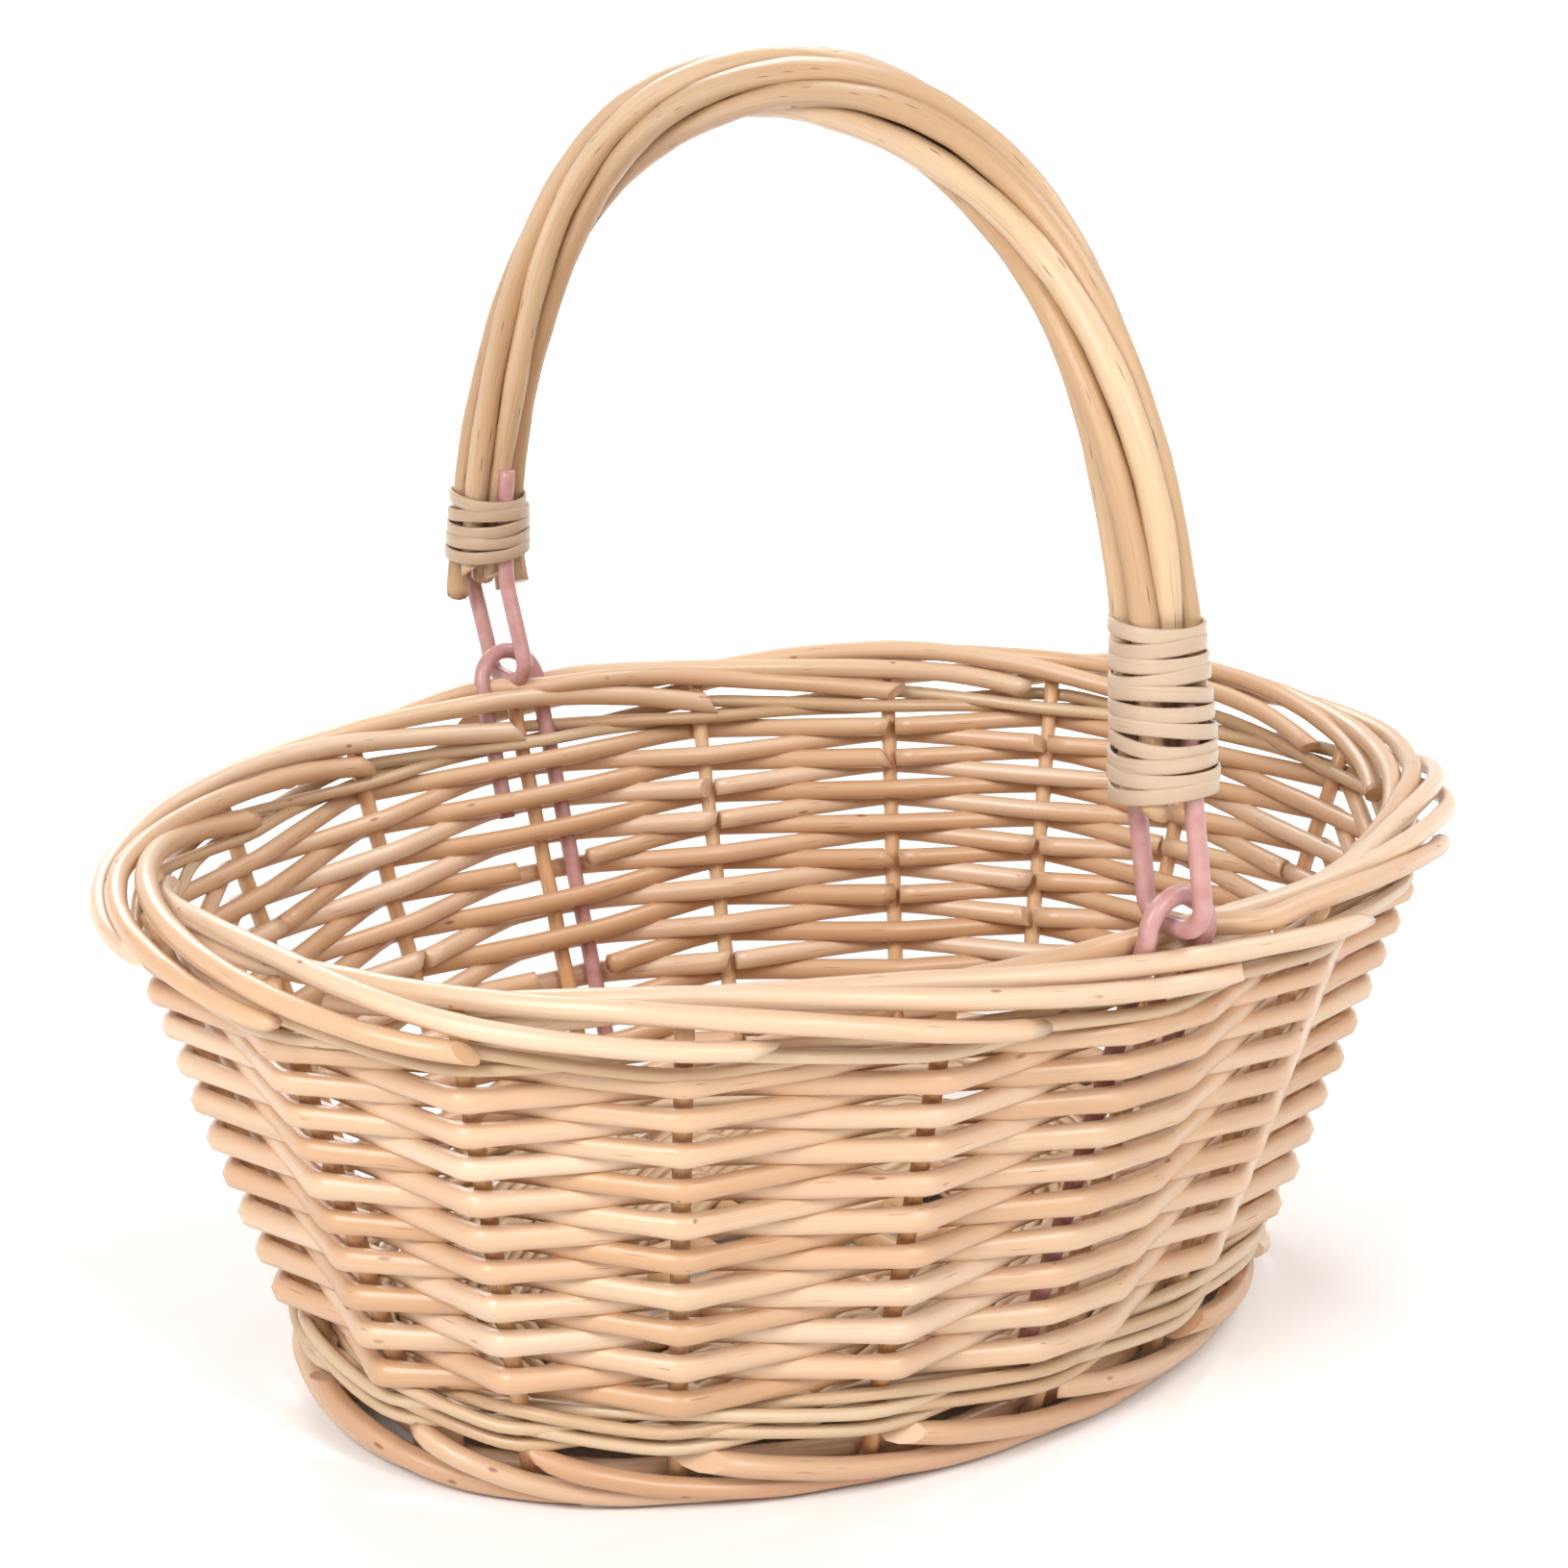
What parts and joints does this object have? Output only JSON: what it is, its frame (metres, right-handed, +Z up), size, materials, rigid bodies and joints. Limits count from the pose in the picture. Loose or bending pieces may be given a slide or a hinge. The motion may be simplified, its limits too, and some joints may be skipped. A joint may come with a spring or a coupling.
{
  "type": "oval wicker market basket",
  "caption": "Oval willow market basket with flared woven walls and a swing handle hung on coated wire hinges.",
  "frame": {"origin": "middle of the foot, on the surface that the basket stands on", "axes": "+X along the long axis of the oval, +Y across it along the handle's hinge axis, +Z up out of the open top"},
  "size_m": [0.3202, 0.2596, 0.2837],
  "materials": {
    "base_stick": "peeled willow stick, satin",
    "fine_willow": "thin peeled willow rod, satin",
    "willow_border": "peeled willow rod, smooth and glossy",
    "willow_stake": "peeled willow rod, satin",
    "willow_weaver": "peeled willow rod, satin with small knots",
    "coated_wire": "smooth plastic coat over steel wire",
    "handle_willow": "willow rod, dull, with bark specks",
    "split_cane": "split cane, satin"
  },
  "bodies": {
    "basket": {"base_long_sticks": "base_stick", "base_cross_sticks": "base_stick", "base_weave": "fine_willow", "foot_border": "willow_border", "bottom_wale_lower": "fine_willow", "bottom_wale_upper": "fine_willow", "top_wale": "fine_willow", "stake_01": "willow_stake", "stake_02": "willow_stake", "stake_03": "willow_stake", "stake_04": "willow_stake", "stake_05": "willow_stake", "stake_06": "willow_stake", "stake_07": "willow_stake", "stake_08": "willow_stake", "stake_09": "willow_stake", "stake_10": "willow_stake", "stake_11": "willow_stake", "stake_12": "willow_stake", "stake_13": "willow_stake", "stake_14": "willow_stake", "stake_15": "willow_stake", "stake_16": "willow_stake", "stake_17": "willow_stake", "stake_18": "willow_stake", "weaver_row_01": "willow_weaver", "weaver_row_02": "willow_weaver", "weaver_row_03": "willow_weaver", "weaver_row_04": "willow_weaver", "weaver_row_05": "willow_weaver", "weaver_row_06": "willow_weaver", "weaver_row_07": "willow_weaver", "weaver_row_08": "willow_weaver", "weaver_row_09": "willow_weaver", "weaver_row_10": "willow_weaver", "weaver_row_11": "willow_weaver", "weaver_row_12": "willow_weaver", "weaver_row_13": "willow_weaver", "weaver_row_14": "willow_weaver", "weaver_row_15": "willow_weaver", "weaver_row_16": "willow_weaver", "weaver_row_17": "willow_weaver", "weaver_row_18": "willow_weaver", "weaver_row_19": "willow_weaver", "border_rod_inner": "willow_border", "border_rod_crest": "willow_border", "border_rod_upper": "willow_border", "border_rod_outer": "willow_border", "loop_front": "coated_wire", "loop_back": "coated_wire"},
    "handle": {"eye_front": "coated_wire", "eye_back": "coated_wire", "handle_rod_1": "handle_willow", "handle_rod_2": "handle_willow", "handle_rod_3": "handle_willow", "handle_rod_4": "handle_willow", "handle_rod_5": "handle_willow", "handle_rod_6": "handle_willow", "binding_front": "split_cane", "binding_back": "split_cane"}
  },
  "joints": [
    {"name": "handle_swing", "type": "hinge", "parent": "basket", "child": "handle", "pos_m": [0, 0, 0.124], "axis": [0, 1, 0], "range_deg": [-62, 62]}
  ]
}
